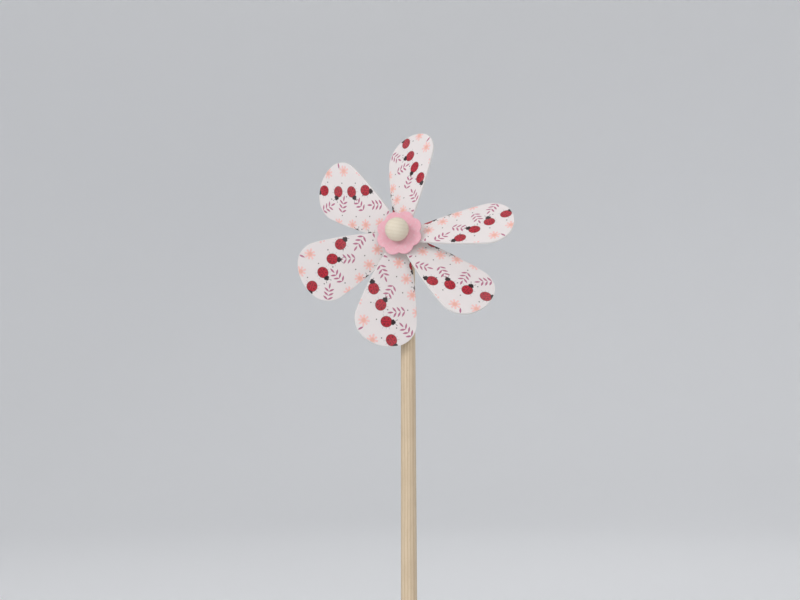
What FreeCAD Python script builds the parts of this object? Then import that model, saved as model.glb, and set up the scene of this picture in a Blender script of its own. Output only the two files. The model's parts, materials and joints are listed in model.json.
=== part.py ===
import FreeCAD, Part
import math
import os

import Sketcher
from FreeCAD import Vector

# A garden whirligig: six flat printed blades in a wooden hub, which spins on a nail through a
# dowel. Millimetres, +Z up along the stick, origin at the centre of the stick's foot, and the
# wheel faces -Y.
#
# Every piece on the axle is drawn in the wheel's own frame: local +Z runs forward along the
# axle, away from the stick, and local XY is the wheel's face as seen from in front. A blade at
# clock angle 0 stands straight up, and clock angles count clockwise.

# alias, value, meaning: lengths in millimetres, angles in degrees
SIZES = [
    ("stick_diameter", 10.0, "dowel"),
    ("stick_length", 400.0, "a third of a 1.2 m dowel"),
    ("stick_above_axle", 12.0, "axle to the top of the stick"),
    ("foot_chamfer", 0.4, "foot of the stick"),
    ("top_chamfer", 0.6, "top of the stick"),
    ("mark_height", 60.0, "foot to the ring that marks how deep the stick goes in"),
    ("mark_width", 0.8, "that ring, a shallow V"),
    ("mark_depth", 0.3, "that ring, a shallow V"),
    ("nail_diameter", 3.0, "shank"),
    ("nail_head_diameter", 7.0, "flat head"),
    ("nail_head_thickness", 1.2, "flat head"),
    ("nail_point", 1.5, "length of the shank's point"),
    ("nail_in_ball", 9.0, "how far the shank goes into the ball"),
    ("nail_fit", 0.02, "radial clearance in the stick and in the ball"),
    ("bead_diameter", 10.0, "spacer bead"),
    ("bead_round", 1.2, "both rims of the spacer bead"),
    ("bead_fit", 0.1, "radial clearance on the nail"),
    ("washer_diameter", 8.0, "both washers"),
    ("washer_thickness", 0.5, "both washers"),
    ("washer_fit", 0.15, "radial clearance on the nail"),
    ("running_gap", 0.2, "axial play at each end of the wheel"),
    ("hub_diameter", 22.0, "turned wooden hub"),
    ("hub_length", 11.0, "along the axle"),
    ("hub_round", 0.8, "both rims of the hub"),
    ("hub_fit", 0.06, "radial running clearance on the nail"),
    ("blade_thickness", 1.5, "sheet"),
    ("blade_pitch", 31.5, "twist of a blade about its own centre line"),
    ("blade_root", 6.0, "axle to the inner end of a blade"),
    ("blade_reach", 76.9, "axle to the tip of a blade"),
    ("blade_width", 43.2, "at its widest"),
    ("tab_width", 12.0, "the end of a blade that sits in the hub"),
    ("neck_width", 16.3, "a blade at its shoulders"),
    ("slot_fit", 0.05, "clearance between a tab and each wall of its slot"),
    ("shoulder_gap", 0.2, "hub's rim to a blade's shoulders"),
    ("tip_round", 29.0, "radius of a blade's end"),
    ("corner_round", 16.0, "radius of a blade's outer corners"),
    ("side_bow", 240.0, "radius of a blade's long sides"),
    ("sweep_gap", 2.4, "front of the stick to the rear edges of the blades"),
    ("flower_radius", 16.0, "axle to the tips of the petals"),
    ("flower_notch", 14.0, "axle to the notches between them"),
    ("flower_thickness", 1.5, "felt"),
    ("flower_gap", 0.3, "raised edges of the blades to the back of the flower, at least"),
    ("flower_turn", 23.0, "clock angle of the first petal"),
    ("flower_fit", 0.5, "radial clearance on the nail"),
    ("ball_diameter", 16.0, "wooden ball"),
    ("ball_face_diameter", 12.0, "flat on the back of the ball"),
    ("hole_end_gap", 0.2, "tip of the nail to the end of its hole in the ball"),
]
# The blades were slotted in by hand, so their clock angles are uneven.
BLADE_CLOCKS = [6.6, 85.8, 133.6, 190.3, 249.3, 309.9]
PETALS = 8

# Places along the axle, forward from the stick's centre line, as formulas on the sheet.
STICK_FRONT = "sizes.stick_diameter / 2"
BLADE_SWEEP = (
    "(sizes.blade_width / 2 * sin(sizes.blade_pitch)"
    " + sizes.blade_thickness / 2 * cos(sizes.blade_pitch))"
)
WHEEL_MIDDLE = f"({STICK_FRONT} + sizes.sweep_gap + {BLADE_SWEEP})"
# The flower lies on the hub, and clears the raised edges of the blades beneath it.
SHOULDER = "(sizes.hub_diameter / 2 + sizes.shoulder_gap)"
SIDE_FLARE = (
    "((sizes.blade_width - sizes.neck_width) / 2"
    f" / (sizes.blade_reach - sizes.tip_round - {SHOULDER}))"
)
EDGE_RISE = (
    f"((sizes.neck_width / 2 + (sizes.flower_radius - {SHOULDER}) * {SIDE_FLARE})"
    " * sin(sizes.blade_pitch) + sizes.blade_thickness / 2 * cos(sizes.blade_pitch))"
)
FLOWER = f"({WHEEL_MIDDLE} + {EDGE_RISE} + sizes.flower_gap)"
HUB_BACK = f"({FLOWER} - sizes.hub_length)"
REAR_WASHER = f"({HUB_BACK} - sizes.running_gap - sizes.washer_thickness)"
FRONT_WASHER = f"({FLOWER} + sizes.flower_thickness + sizes.running_gap)"
BALL_FACE = f"({FRONT_WASHER} + sizes.washer_thickness)"

AXLE_HEIGHT = "(sizes.stick_length - sizes.stick_above_axle)"
NAIL_RADIUS = "sizes.nail_diameter / 2"
NAIL_LENGTH = (
    f"(sizes.nail_head_thickness + {STICK_FRONT} + {BALL_FACE} + sizes.nail_in_ball)"
)

doc = FreeCAD.newDocument("whirligig")
sheet = doc.addObject("Spreadsheet::Sheet", "sizes")


def fill_sheet():
    rows = list(SIZES)
    for blade, clock in enumerate(BLADE_CLOCKS, start=1):
        rows.append((f"blade_clock_{blade}", clock, f"clock angle of blade {blade}"))
    for row, (alias, value, meaning) in enumerate(rows, start=1):
        sheet.set(f"A{row}", alias)
        sheet.set(f"B{row}", str(value))
        sheet.setAlias(f"B{row}", alias)
        sheet.set(f"C{row}", meaning)
    doc.recompute()


def number(formula):
    """The value that a formula on the sheet has."""
    return float(sheet.evalExpression(formula))


# ---------------------------------------------------------------- placements


def moved_forward(distance):
    return f"placement(vector(0; 0; {distance}); rotation(vector(0; 0; 1); 0))"


def on_axle(forward):
    """Placement formula of a piece whose own origin is this far forward on the axle."""
    wheel_frame = (
        f"placement(vector(0; 0; {AXLE_HEIGHT}); rotation(vector(1; 0; 0); 90))"
    )
    return f"{wheel_frame} * {moved_forward(forward)}"


def turned(axis, angle):
    """Placement formula of a turn about one of the piece's own axes."""
    return f"placement(vector(0; 0; 0); rotation(vector({axis}); {angle}))"


def blade_turns(blade):
    """Placement formula that takes a blade from clock angle 0 and no pitch to its own."""
    clock = turned("0; 0; 1", f"-sizes.blade_clock_{blade}")
    pitch = turned("0; 1; 0", "-sizes.blade_pitch")
    return f"{clock} * {pitch}"


# ---------------------------------------------------------------- bodies and sketches


def new_body(name, placement=None):
    body = doc.addObject("PartDesign::Body", name)
    body.Label = name
    if placement:
        body.setExpression("Placement", placement)
    return body


def origin_feature(body, role):
    return next(f for f in body.Origin.OriginFeatures if f.Role == role)


def new_sketch(body, name, role="XY_Plane"):
    sketch = body.newObject("Sketcher::SketchObject", name)
    sketch.AttachmentSupport = [(origin_feature(body, role), "")]
    sketch.MapMode = "FlatFace"
    return sketch


def constrain(sketch, kind, *where, to):
    """Add a dimension that is bound to a formula on the sheet."""
    index = sketch.addConstraint(Sketcher.Constraint(kind, *where, number(to)))
    sketch.setExpression(f"Constraints[{index}]", to)


def relate(sketch, kind, *where):
    sketch.addConstraint(Sketcher.Constraint(kind, *where))


def circle_sketch(body, name, radius, up="0", role="XY_Plane"):
    """One circle with its centre on the sketch's vertical axis."""
    sketch = new_sketch(body, name, role)
    centre = Vector(0, number(up), 0)
    sketch.addGeometry(Part.Circle(centre, Vector(0, 0, 1), number(radius)))
    constrain(sketch, "Radius", 0, to=radius)
    relate(sketch, "PointOnObject", 0, 3, -2)
    constrain(sketch, "DistanceY", 0, 3, to=up)
    return sketch


def pad(body, name, sketch, length, symmetric=False):
    feature = body.newObject("PartDesign::Pad", name)
    feature.Profile = sketch
    feature.setExpression("Length", length)
    if symmetric:
        feature.SideType = "Symmetric"
    return feature


def pocket(body, name, sketch, depth=None):
    """Cut forward from the sketch to a depth, or right through both ways if it has none."""
    doc.recompute()
    volume_before = body.Shape.Volume
    feature = body.newObject("PartDesign::Pocket", name)
    feature.Profile = sketch
    if depth:
        feature.Reversed = True
        feature.setExpression("Length", depth)
    else:
        feature.Type = "ThroughAll"
        feature.SideType = "Symmetric"
    doc.recompute()
    if body.Shape.Volume >= volume_before:
        raise RuntimeError(f"{name} cuts nothing from {body.Label}")


def turn_outline(body, corners):
    """Turn a closed outline about local Z. A corner is two formulas, radius and height."""
    sketch = new_sketch(body, "outline", "XZ_Plane")
    places = [Vector(number(radius), number(height), 0) for radius, height in corners]
    for start, end in zip(places, places[1:] + places[:1]):
        sketch.addGeometry(Part.LineSegment(start, end))
    for edge, (radius, height) in enumerate(corners):
        relate(sketch, "Coincident", edge - 1 if edge else len(corners) - 1, 2, edge, 1)
        constrain(sketch, "DistanceX", edge, 1, to=radius)
        constrain(sketch, "DistanceY", edge, 1, to=height)
    feature = body.newObject("PartDesign::Revolution", "turned")
    feature.Profile = sketch
    feature.ReferenceAxis = (sketch, ["V_Axis"])
    feature.Angle = 360
    return feature


def soften_rims(body, feature, kind, attribute, size):
    """Chamfer or fillet the two rims of a plain cylinder."""
    doc.recompute()
    edges = enumerate(feature.Shape.Edges, start=1)
    rims = [f"Edge{index}" for index, edge in edges if edge.Closed]
    softened = body.newObject(kind, "rims")
    softened.Base = (feature, rims)
    softened.setExpression(attribute, size)


# ---------------------------------------------------------------- stick and axle


def make_stick():
    body = new_body("stick")
    radius = "sizes.stick_diameter / 2"
    turn_outline(
        body,
        [
            ("0", "0"),
            (f"{radius} - sizes.foot_chamfer", "0"),
            (radius, "sizes.foot_chamfer"),
            (radius, "sizes.mark_height"),
            (f"{radius} - sizes.mark_depth", "sizes.mark_height + sizes.mark_width / 2"),
            (radius, "sizes.mark_height + sizes.mark_width"),
            (radius, "sizes.stick_length - sizes.top_chamfer"),
            (f"{radius} - sizes.top_chamfer", "sizes.stick_length"),
            ("0", "sizes.stick_length"),
        ],
    )
    hole = circle_sketch(
        body, "nail_hole", f"{NAIL_RADIUS} + sizes.nail_fit", AXLE_HEIGHT, "XZ_Plane"
    )
    pocket(body, "nail_passage", hole)


def make_nail():
    """A flat-headed nail, driven through the stick from behind."""
    head_back = f"(-{STICK_FRONT} - sizes.nail_head_thickness)"
    body = new_body("axle_nail", on_axle(head_back))
    turn_outline(
        body,
        [
            ("0", "0"),
            ("sizes.nail_head_diameter / 2", "0"),
            ("sizes.nail_head_diameter / 2", "sizes.nail_head_thickness"),
            (NAIL_RADIUS, "sizes.nail_head_thickness"),
            (NAIL_RADIUS, f"{NAIL_LENGTH} - sizes.nail_point"),
            ("0", NAIL_LENGTH),
        ],
    )


def make_bead():
    """The wooden bead that holds the wheel clear of the stick."""
    body = new_body("spacer_bead", on_axle(STICK_FRONT))
    end = circle_sketch(body, "end", "sizes.bead_diameter / 2")
    blank = pad(body, "blank", end, f"{REAR_WASHER} - {STICK_FRONT}")
    soften_rims(body, blank, "PartDesign::Fillet", "Radius", "sizes.bead_round")
    bore = circle_sketch(body, "bore", f"{NAIL_RADIUS} + sizes.bead_fit")
    pocket(body, "nail_passage", bore)


def make_washer(name, forward):
    body = new_body(name, on_axle(forward))
    disc = circle_sketch(body, "disc", "sizes.washer_diameter / 2")
    pad(body, "sheet", disc, "sizes.washer_thickness")
    bore = circle_sketch(body, "bore", f"{NAIL_RADIUS} + sizes.washer_fit")
    pocket(body, "nail_passage", bore)


def make_ball():
    """The wooden ball on the nail's end, flat at the back so that it bears on the washer."""
    body = new_body("ball_cap", on_axle(BALL_FACE))
    ball = body.newObject("PartDesign::AdditiveSphere", "ball")
    ball.setExpression("Radius", "sizes.ball_diameter / 2")
    ball.setExpression(
        "Angle1", "-acos(sizes.ball_face_diameter / sizes.ball_diameter)"
    )
    ball.setExpression(
        "Placement.Base.z",
        "sqrt(sizes.ball_diameter^2 - sizes.ball_face_diameter^2) / 2",
    )
    bore = circle_sketch(body, "bore", f"{NAIL_RADIUS} + sizes.nail_fit")
    pocket(body, "nail_hole", bore, "sizes.nail_in_ball + sizes.hole_end_gap")


# ---------------------------------------------------------------- wheel


def make_hub():
    body = new_body("hub", on_axle(HUB_BACK))
    end = circle_sketch(body, "end", "sizes.hub_diameter / 2")
    blank = pad(body, "blank", end, "sizes.hub_length")
    soften_rims(body, blank, "PartDesign::Fillet", "Radius", "sizes.hub_round")
    bore = circle_sketch(body, "bore", f"{NAIL_RADIUS} + sizes.hub_fit")
    pocket(body, "nail_passage", bore)
    for blade in range(1, len(BLADE_CLOCKS) + 1):
        cut_slot(body, blade)


def cut_slot(body, blade):
    """A slot from the hub's rim in to a blade's root, as wide and thick as the blade's tab."""
    slot = body.newObject("PartDesign::SubtractiveBox", f"slot_{blade}")
    slot.setExpression("Length", "sizes.tab_width + 2 * sizes.slot_fit")
    slot.setExpression("Width", "sizes.hub_diameter / 2 - sizes.blade_root + sizes.slot_fit")
    slot.setExpression("Height", "sizes.blade_thickness + 2 * sizes.slot_fit")
    corner = (
        "placement(vector(-sizes.tab_width / 2 - sizes.slot_fit;"
        " sizes.blade_root - sizes.slot_fit;"
        " -sizes.blade_thickness / 2 - sizes.slot_fit);"
        " rotation(vector(0; 0; 1); 0))"
    )
    middle = moved_forward(f"{WHEEL_MIDDLE} - {HUB_BACK}")
    slot.setExpression("Placement", f"{middle} * {blade_turns(blade)} * {corner}")


def circles_meet(centre_a, radius_a, centre_b, radius_b):
    """Where two circles cross, on the right of the way from the first centre to the second."""
    between = centre_b - centre_a
    distance = between.Length
    along = (distance**2 + radius_a**2 - radius_b**2) / (2 * distance)
    aside = math.sqrt(radius_a**2 - along**2)
    ahead = between / distance
    return centre_a + ahead * along + Vector(ahead.y, -ahead.x, 0) * aside


def arc(centre, start, end):
    """The arc from one point round to another, anticlockwise about its centre."""
    circle = Part.Circle(centre, Vector(0, 0, 1), (start - centre).Length)
    return Part.ArcOfCircle(circle, circle.parameter(start), circle.parameter(end))


def mirrored(point):
    return Vector(-point.x, point.y, 0)


def blade_sketch(body):
    """A tab, two shoulders, two long bowed sides, two corners and a rounded end."""
    corner_apart = "sizes.blade_width - 2 * sizes.corner_round"
    tip_centre_up = "sizes.blade_reach - sizes.tip_round"
    tip_round = number("sizes.tip_round")
    corner_round = number("sizes.corner_round")
    side_bow = number("sizes.side_bow")

    # starting places, right half: the constraints below hold the same shape
    root = Vector(number("sizes.tab_width") / 2, number("sizes.blade_root"), 0)
    tab_end = Vector(root.x, number(SHOULDER), 0)
    neck = Vector(number("sizes.neck_width") / 2, tab_end.y, 0)
    tip_centre = Vector(0, number(tip_centre_up), 0)
    corner_x = number(corner_apart) / 2
    corner_rise = math.sqrt((tip_round - corner_round) ** 2 - corner_x**2)
    corner_centre = tip_centre + Vector(corner_x, corner_rise, 0)
    side_centre = circles_meet(corner_centre, side_bow - corner_round, neck, side_bow)
    side_end = side_centre + (corner_centre - side_centre).normalize() * side_bow
    corner_end = tip_centre + (corner_centre - tip_centre).normalize() * tip_round

    sketch = new_sketch(body, "outline")
    sketch.addGeometry(
        [
            Part.LineSegment(mirrored(root), root),
            Part.LineSegment(root, tab_end),
            Part.LineSegment(tab_end, neck),
            arc(side_centre, neck, side_end),
            arc(corner_centre, side_end, corner_end),
            arc(tip_centre, corner_end, mirrored(corner_end)),
            arc(mirrored(corner_centre), mirrored(corner_end), mirrored(side_end)),
            arc(mirrored(side_centre), mirrored(side_end), mirrored(neck)),
            Part.LineSegment(mirrored(neck), mirrored(tab_end)),
            Part.LineSegment(mirrored(tab_end), mirrored(root)),
        ]
    )
    base, tab, shelf, side, corner, tip, left_corner, left_side = range(8)
    for edge in (base, tab, shelf, left_side, 8, 9):
        relate(sketch, "Coincident", edge, 2, (edge + 1) % 10, 1)
    for edge in (side, corner, tip, left_corner):
        relate(sketch, "Tangent", edge, 2, edge + 1, 1)
    relate(sketch, "Horizontal", shelf)
    relate(sketch, "Vertical", tab)
    vertical_axis = -2
    for edge, point, mirror_edge, mirror_point in (
        (base, 1, base, 2),
        (tab, 2, 9, 1),
        (side, 1, left_side, 2),
        (corner, 1, left_corner, 2),
        (corner, 2, left_corner, 1),
    ):
        relate(
            sketch, "Symmetric", edge, point, mirror_edge, mirror_point, vertical_axis
        )
    constrain(sketch, "DistanceX", base, 1, base, 2, to="sizes.tab_width")
    constrain(sketch, "DistanceY", base, 2, to="sizes.blade_root")
    constrain(sketch, "DistanceY", tab, 2, to=SHOULDER)
    constrain(sketch, "DistanceX", left_side, 2, side, 1, to="sizes.neck_width")
    constrain(sketch, "DistanceX", left_corner, 3, corner, 3, to=corner_apart)
    constrain(sketch, "DistanceY", tip, 3, to=tip_centre_up)
    constrain(sketch, "Radius", tip, to="sizes.tip_round")
    constrain(sketch, "Radius", corner, to="sizes.corner_round")
    constrain(sketch, "Radius", side, to="sizes.side_bow")
    return sketch


def make_blade(blade):
    placement = f"{on_axle(WHEEL_MIDDLE)} * {blade_turns(blade)}"
    body = new_body(f"blade_{blade}", placement)
    outline = blade_sketch(body)
    pad(body, "sheet", outline, "sizes.blade_thickness", symmetric=True)


def make_flower():
    """A felt flower glued to the hub's face: one petal, patterned round a disc."""
    half_petal = 180 / PETALS
    reach = f"(sizes.flower_radius - sizes.flower_notch * cos({half_petal}))"
    half_width = f"(sizes.flower_notch * sin({half_petal}))"
    petal_radius = f"(({half_width}^2 + {reach}^2) / (2 * {reach}))"
    thickness = "sizes.flower_thickness"

    placement = f"{on_axle(FLOWER)} * {turned('0; 0; 1', '-sizes.flower_turn')}"
    body = new_body("flower_disc", placement)
    core = circle_sketch(body, "core_outline", f"sizes.flower_notch * cos({half_petal})")
    pad(body, "core", core, thickness)
    petal_outline = circle_sketch(
        body, "petal_outline", petal_radius, f"sizes.flower_radius - {petal_radius}"
    )
    petal = pad(body, "petal", petal_outline, thickness)
    doc.recompute()
    petals = body.newObject("PartDesign::PolarPattern", "petals")
    petals.Originals = [petal]
    petals.Axis = (origin_feature(body, "Z_Axis"), [""])
    petals.Angle = 360
    petals.Occurrences = PETALS
    body.Tip = petals
    bore = circle_sketch(body, "bore", f"{NAIL_RADIUS} + sizes.flower_fit")
    pocket(body, "nail_passage", bore)


# ---------------------------------------------------------------- build and write


def check_document():
    """Stop if any object failed, or if any piece isn't one valid solid."""
    for item in doc.Objects:
        if "Invalid" in item.State or "Error" in item.State:
            raise RuntimeError(f"{item.Label} is in state {item.State}")
    for sketch in doc.findObjects("Sketcher::SketchObject"):
        if not sketch.FullyConstrained:
            raise RuntimeError(f"{sketch.Label} isn't fully constrained")
    for body in doc.findObjects("PartDesign::Body"):
        shape = body.Shape
        if shape.isNull() or not shape.isValid() or len(shape.Solids) != 1:
            raise RuntimeError(f"{body.Label} isn't one valid solid")


def write_parts():
    os.makedirs("parts", exist_ok=True)
    for body in doc.findObjects("PartDesign::Body"):
        body.Shape.exportStep(f"parts/{body.Label}.step")
        box = body.Shape.BoundBox
        print(
            f"{body.Label:14} {body.Shape.Volume:10.1f} mm3"
            f"  x {box.XMin:7.2f} {box.XMax:7.2f}"
            f"  y {box.YMin:7.2f} {box.YMax:7.2f}"
            f"  z {box.ZMin:7.2f} {box.ZMax:7.2f}"
        )


fill_sheet()
make_stick()
make_nail()
make_bead()
make_washer("rear_washer", REAR_WASHER)
make_hub()
for blade_number in range(1, len(BLADE_CLOCKS) + 1):
    make_blade(blade_number)
make_flower()
make_washer("front_washer", FRONT_WASHER)
make_ball()
doc.recompute()
check_document()
write_parts()
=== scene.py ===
import json
from math import cos, pi, radians, sin

import bmesh
import bpy
from mathutils import Matrix, Vector, noise


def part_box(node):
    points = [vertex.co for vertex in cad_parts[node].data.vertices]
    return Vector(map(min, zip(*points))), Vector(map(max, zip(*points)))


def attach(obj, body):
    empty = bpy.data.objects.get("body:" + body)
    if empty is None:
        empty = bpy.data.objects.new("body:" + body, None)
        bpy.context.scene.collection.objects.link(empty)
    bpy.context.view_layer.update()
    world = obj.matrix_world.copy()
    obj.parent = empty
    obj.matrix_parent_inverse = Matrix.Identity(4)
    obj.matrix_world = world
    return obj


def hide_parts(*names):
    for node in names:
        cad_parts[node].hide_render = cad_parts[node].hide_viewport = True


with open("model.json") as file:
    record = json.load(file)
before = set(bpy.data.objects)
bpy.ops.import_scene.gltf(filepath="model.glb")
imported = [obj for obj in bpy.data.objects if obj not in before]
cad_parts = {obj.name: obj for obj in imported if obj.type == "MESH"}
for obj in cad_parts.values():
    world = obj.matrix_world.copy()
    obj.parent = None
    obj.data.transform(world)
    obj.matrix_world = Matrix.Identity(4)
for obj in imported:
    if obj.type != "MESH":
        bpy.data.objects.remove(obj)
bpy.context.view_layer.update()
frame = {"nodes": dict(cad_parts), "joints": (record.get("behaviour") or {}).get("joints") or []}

bl_info = {
    "name": "Whirligig",
    "version": (1, 0, 0),
    "blender": (4, 5, 0),
    "location": "View3D > Sidebar > Whirligig",
    "description": "Finishes a garden whirligig with printed blades, a felt flower and turned wood",
    "category": "Object",
}

MM = 0.001
BLADES = sorted(name for name in frame["nodes"] if name.startswith("blade_"))
FORWARD = Vector((0, -1, 0))
AXLE_HEIGHT = frame["joints"][0]["pos_m"][2]
BLADE_LOW, BLADE_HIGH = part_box(BLADES[0])
HUB_POINT = Vector((0, (BLADE_LOW.y + BLADE_HIGH.y) / 2, AXLE_HEIGHT))

# A face counts as flat, or as a wall, by how far its normal leans from the sheet's own.
FLAT = 0.999
NEARLY_FLAT = 0.99
RIM_FLAT = 0.9
RIM_WALL = 0.5

# The felt is cut into a grid of this step, so that it can wave, at this many waves in a metre.
FELT_STEP = 1.3 * MM
FELT_WAVES = 110

# The floor's radius, the backdrop's height, and the bend between them, in metres.
SWEEP_RADIUS = 4.5
SWEEP_HEIGHT = 5.5
SWEEP_BEND = 2.4

# Each light's name, place, width and power setting.
LAMP_SPREAD = radians(80)
LAMPS = [
    ("Key light", (-1.5, -2.9, 1.15), 1.2, "key_power"),
    ("Fill light", (1.3, -2.9, 1.05), 1.2, "fill_power"),
    ("Back light", (1.4, 2.6, 1.9), 1.8, "back_power"),
]

# The printed picture is laid out in millimetres on a blade: first across, to its clockwise side,
# then outward from the axle. A heading is in degrees from outward towards the clockwise side.
# FAR is a motif that no place is near: its place across and outward, and how far off it is.
PRINT_SPAN = 100.0
FAR = (50.0, 50.0, 90.0)
# The print is a plain scatter in staggered rows. They take a ladybird, a daisy and a sprig in
# turn, and each motif is turned and nudged by the same further angle than the one before it.
ROWS = 6
ROW_STEP = 11.0
FIRST_ROW = 18.0
MOTIF_STEP = 14.0
NUDGE = 1.5
TURN_STEP = 137.5
LADYBIRD_SIZE = 3.9
DAISY_SIZE = 4.2
SPRIG_SIZE = 1.0
LEAF_PAIRS = (-4.0, -1.0, 2.0)
SPRIG_LEAVES = [((1.7 * side, rise), -35 * side) for rise in LEAF_PAIRS for side in (-1, 1)]
SPRIG_LEAVES.append(((0.0, 5.0), 90))


def scatter():
    """Each motif's place and heading, row by row."""
    motifs = []
    for row in range(ROWS):
        for column in (-1.5, -0.5, 0.5, 1.5) if row % 2 else (-1, 0, 1):
            heading = TURN_STEP * len(motifs)
            across = column * MOTIF_STEP + NUDGE * cos(radians(heading))
            outward = FIRST_ROW + row * ROW_STEP + NUDGE * sin(radians(heading))
            motifs.append(((across, outward), heading))
    return motifs


MOTIFS = scatter()
LADYBIRDS = MOTIFS[0::3]
DAISIES = MOTIFS[1::3]
SPRIGS = MOTIFS[2::3]
DOTS = [(across + MOTIF_STEP / 2, outward) for (across, outward), _ in MOTIFS]


def tint(red, green, blue):
    """A colour given as on a colour chart, 0 to 255, in the linear values that the shaders use."""
    chart = [channel / 255 for channel in (red, green, blue)]
    return tuple(c / 12.92 if c <= 0.04045 else ((c + 0.055) / 1.055) ** 2.4 for c in chart)


def colour_of(name, note, default):
    """A colour setting."""
    return bpy.props.FloatVectorProperty(
        name=name, description=note, default=default, subtype="COLOR", size=3, min=0, max=1
    )


def length_of(name, note, default):
    """A length setting, in metres."""
    return bpy.props.FloatProperty(
        name=name, description=note, default=default, min=0, unit="LENGTH", precision=5
    )


class WhirligigPrint(bpy.types.PropertyGroup):
    """The blades' printed picture"""

    sheet: colour_of("Sheet", "The white sheet under the print", tint(239, 229, 228))
    core: colour_of("Core", "The sheet's cut edge and its plain back", tint(232, 230, 227))
    shell: colour_of("Ladybird", "The ladybirds' wing cases", tint(204, 38, 58))
    dark: colour_of("Ink", "Heads, legs, spots and dots", tint(46, 30, 34))
    ray: colour_of("Daisy rays", "The daisies' rays", tint(248, 200, 195))
    heart: colour_of("Daisy hearts", "The daisies' middles", tint(240, 178, 156))
    leaf: colour_of("Leaves", "The sprigs' curved leaves", tint(188, 112, 140))
    rim: length_of("Rim", "How far the sheet's cut rim is rounded", 0.00022)


class WhirligigWood(bpy.types.PropertyGroup):
    """The wooden pieces"""

    dowel: colour_of("Dowel", "The stick's early wood", tint(222, 203, 176))
    dowel_dark: colour_of("Dowel grain", "The stick's late wood and streaks", tint(201, 176, 143))
    ball: colour_of("Ball", "The ball's early wood", tint(236, 225, 205))
    ball_dark: colour_of("Ball grain", "The ball's late wood and streaks", tint(228, 215, 192))
    hub: colour_of("Hub", "The hub's and the bead's early wood", tint(218, 194, 158))
    hub_dark: colour_of("Hub grain", "The hub's and the bead's late wood", tint(180, 146, 106))


class WhirligigTrim(bpy.types.PropertyGroup):
    """The felt flower and the small steel pieces"""

    felt: colour_of("Felt", "The flower's felt", tint(255, 200, 210))
    felt_light: colour_of("Felt fibres", "The paler fibres on top of the felt", tint(255, 228, 232))
    felt_rim: length_of("Felt rim", "How far the felt's cut rim is rounded", 0.0005)
    felt_curl: length_of("Felt curl", "How far the felt's petals curl forward", 0.0005)
    zinc: colour_of("Zinc", "The nail's and the washers' plating", tint(196, 198, 200))
    zinc_dark: colour_of("Dull zinc", "The plating where it has dulled", tint(142, 143, 146))


class WhirligigStage(bpy.types.PropertyGroup):
    """The floor, the light and the camera"""

    paper: colour_of("Backdrop", "The floor, which sweeps up into the backdrop", tint(243, 244, 246))
    air: colour_of("Air", "The soft light from all round", (1.0, 1.0, 1.0))
    air_strength: bpy.props.FloatProperty(
        name="Air strength", description="How strong the light from all round is", default=0.67, min=0
    )
    key_power: bpy.props.FloatProperty(
        name="Key light", description="The large light at the left front",
        default=7, min=0, unit="POWER",
    )
    fill_power: bpy.props.FloatProperty(
        name="Fill light", description="The large light at the right front",
        default=3.5, min=0, unit="POWER",
    )
    back_power: bpy.props.FloatProperty(
        name="Back light", description="The large light behind", default=3, min=0, unit="POWER"
    )
    turn: bpy.props.FloatProperty(
        name="Turn", description="How far the camera goes round to the right",
        default=radians(13.5), subtype="ANGLE",
    )
    rise: bpy.props.FloatProperty(
        name="Rise", description="How far the camera stands above the hub, seen from it",
        default=radians(-15.0), subtype="ANGLE",
    )
    distance: length_of("Distance", "From the hub to the camera", 0.413)
    lens: bpy.props.FloatProperty(
        name="Lens", description="The camera's focal length", default=27, min=1, unit="CAMERA"
    )
    drop: length_of("Drop", "How far below the hub the view's middle lies", 0.0437)
    shift_left: length_of("Shift left", "How far left of the hub the view's middle lies", 0.00108)


# ---- nodes -------------------------------------------------------------------------------------


def feed(tree, socket, value):
    """Link an output to this input, or set the input's own value."""
    if isinstance(value, bpy.types.NodeSocket):
        tree.links.new(value, socket)
    elif value is not None:
        socket.default_value = value


def add(tree, kind, **settings):
    """A new node, placed in a row with the ones before it."""
    count = len(tree.nodes)
    node = tree.nodes.new(kind)
    node.location = (220 * (count // 4), -240 * (count % 4))
    for key, value in settings.items():
        setattr(node, key, value)
    return node


def maths(tree, operation, *values, clamp=False):
    """The result of one Math node."""
    node = add(tree, "ShaderNodeMath", operation=operation, use_clamp=clamp)
    for socket, value in zip(node.inputs, values):
        feed(tree, socket, value)
    return node.outputs[0]


def vectors(tree, operation, *values):
    """The result of one Vector Math node: a number for a length, a distance or a dot product."""
    node = add(tree, "ShaderNodeVectorMath", operation=operation)
    for socket, value in zip(node.inputs, values):
        feed(tree, socket, value)
    measures = operation in ("LENGTH", "DISTANCE", "DOT_PRODUCT")
    return node.outputs["Value" if measures else "Vector"]


def scaled(tree, vector, factor):
    """A vector times one number."""
    node = add(tree, "ShaderNodeVectorMath", operation="SCALE")
    feed(tree, node.inputs["Vector"], vector)
    feed(tree, node.inputs["Scale"], factor)
    return node.outputs["Vector"]


def parts_of(tree, vector):
    """A vector's three numbers."""
    node = add(tree, "ShaderNodeSeparateXYZ")
    feed(tree, node.inputs[0], vector)
    return node.outputs[0], node.outputs[1], node.outputs[2]


def vector_of(tree, *numbers):
    """A vector from its three numbers."""
    node = add(tree, "ShaderNodeCombineXYZ")
    for socket, value in zip(node.inputs, numbers):
        feed(tree, socket, value)
    return node.outputs[0]


def ramp(tree, value, start, end, low=0.0, high=1.0):
    """Goes smoothly from low to high while the value goes from start to end."""
    node = add(tree, "ShaderNodeMapRange", interpolation_type="SMOOTHSTEP")
    for socket, number in zip(node.inputs, (value, start, end, low, high)):
        feed(tree, socket, number)
    return node.outputs["Result"]


def inside(tree, value, edge, soft):
    """1 where the value is under the edge and 0 past it, with a soft border."""
    return ramp(tree, value, edge - soft / 2, edge + soft / 2, 1.0, 0.0)


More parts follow.
